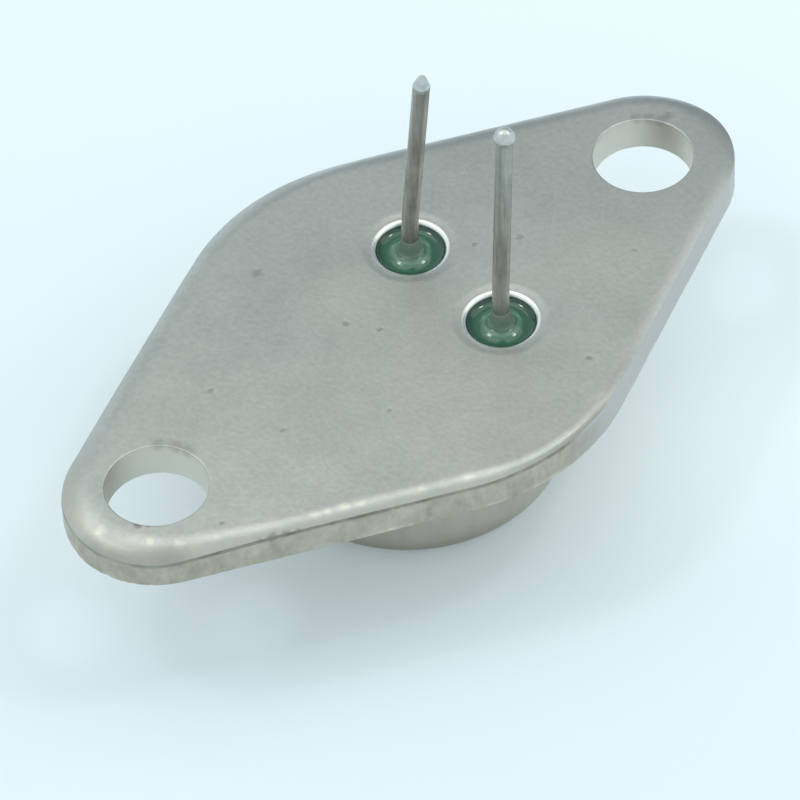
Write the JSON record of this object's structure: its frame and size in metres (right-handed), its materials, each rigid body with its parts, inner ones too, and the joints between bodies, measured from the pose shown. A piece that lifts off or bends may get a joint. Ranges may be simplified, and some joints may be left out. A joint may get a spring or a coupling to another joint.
{
  "type": "power transistor",
  "caption": "Metal-can power transistor: a plated steel diamond flange with mounting holes, a welded cap on one side and leads in green glass seals on the other.",
  "frame": {"origin": "centre of the cap's flat top, on the surface that the part stands on, leads up", "axes": "+Z along the leads, +X along the long axis of the flange towards the mounting hole nearer the leads"},
  "size_m": [0.0314, 0.0174, 0.0168],
  "materials": {
    "header_plating": "matt nickel-plated blanked steel, sheared edge left rough",
    "cap_plating": "satin nickel-plated drawn steel",
    "seal_glass": "fused green sealing glass",
    "lead_alloy": "dull plated nickel-iron wire",
    "spreader_copper": "plain copper",
    "silver_braze": "flowed silver-copper braze",
    "soft_solder": "flowed lead-tin solder",
    "silicon": "polished silicon with aluminium contacts",
    "bond_wire": "bright drawn aluminium"
  },
  "bodies": {
    "root": {"header_plate": "header_plating", "cap": "cap_plating", "base_glass_seal": "seal_glass", "emitter_glass_seal": "seal_glass", "base_lead": "lead_alloy", "emitter_lead": "lead_alloy", "heat_spreader": "spreader_copper", "spreader_braze": "silver_braze", "chip_solder": "soft_solder", "silicon_chip": "silicon", "base_wire": "bond_wire", "emitter_wire_inner": "bond_wire", "emitter_wire_outer": "bond_wire"}
  },
  "joints": []
}
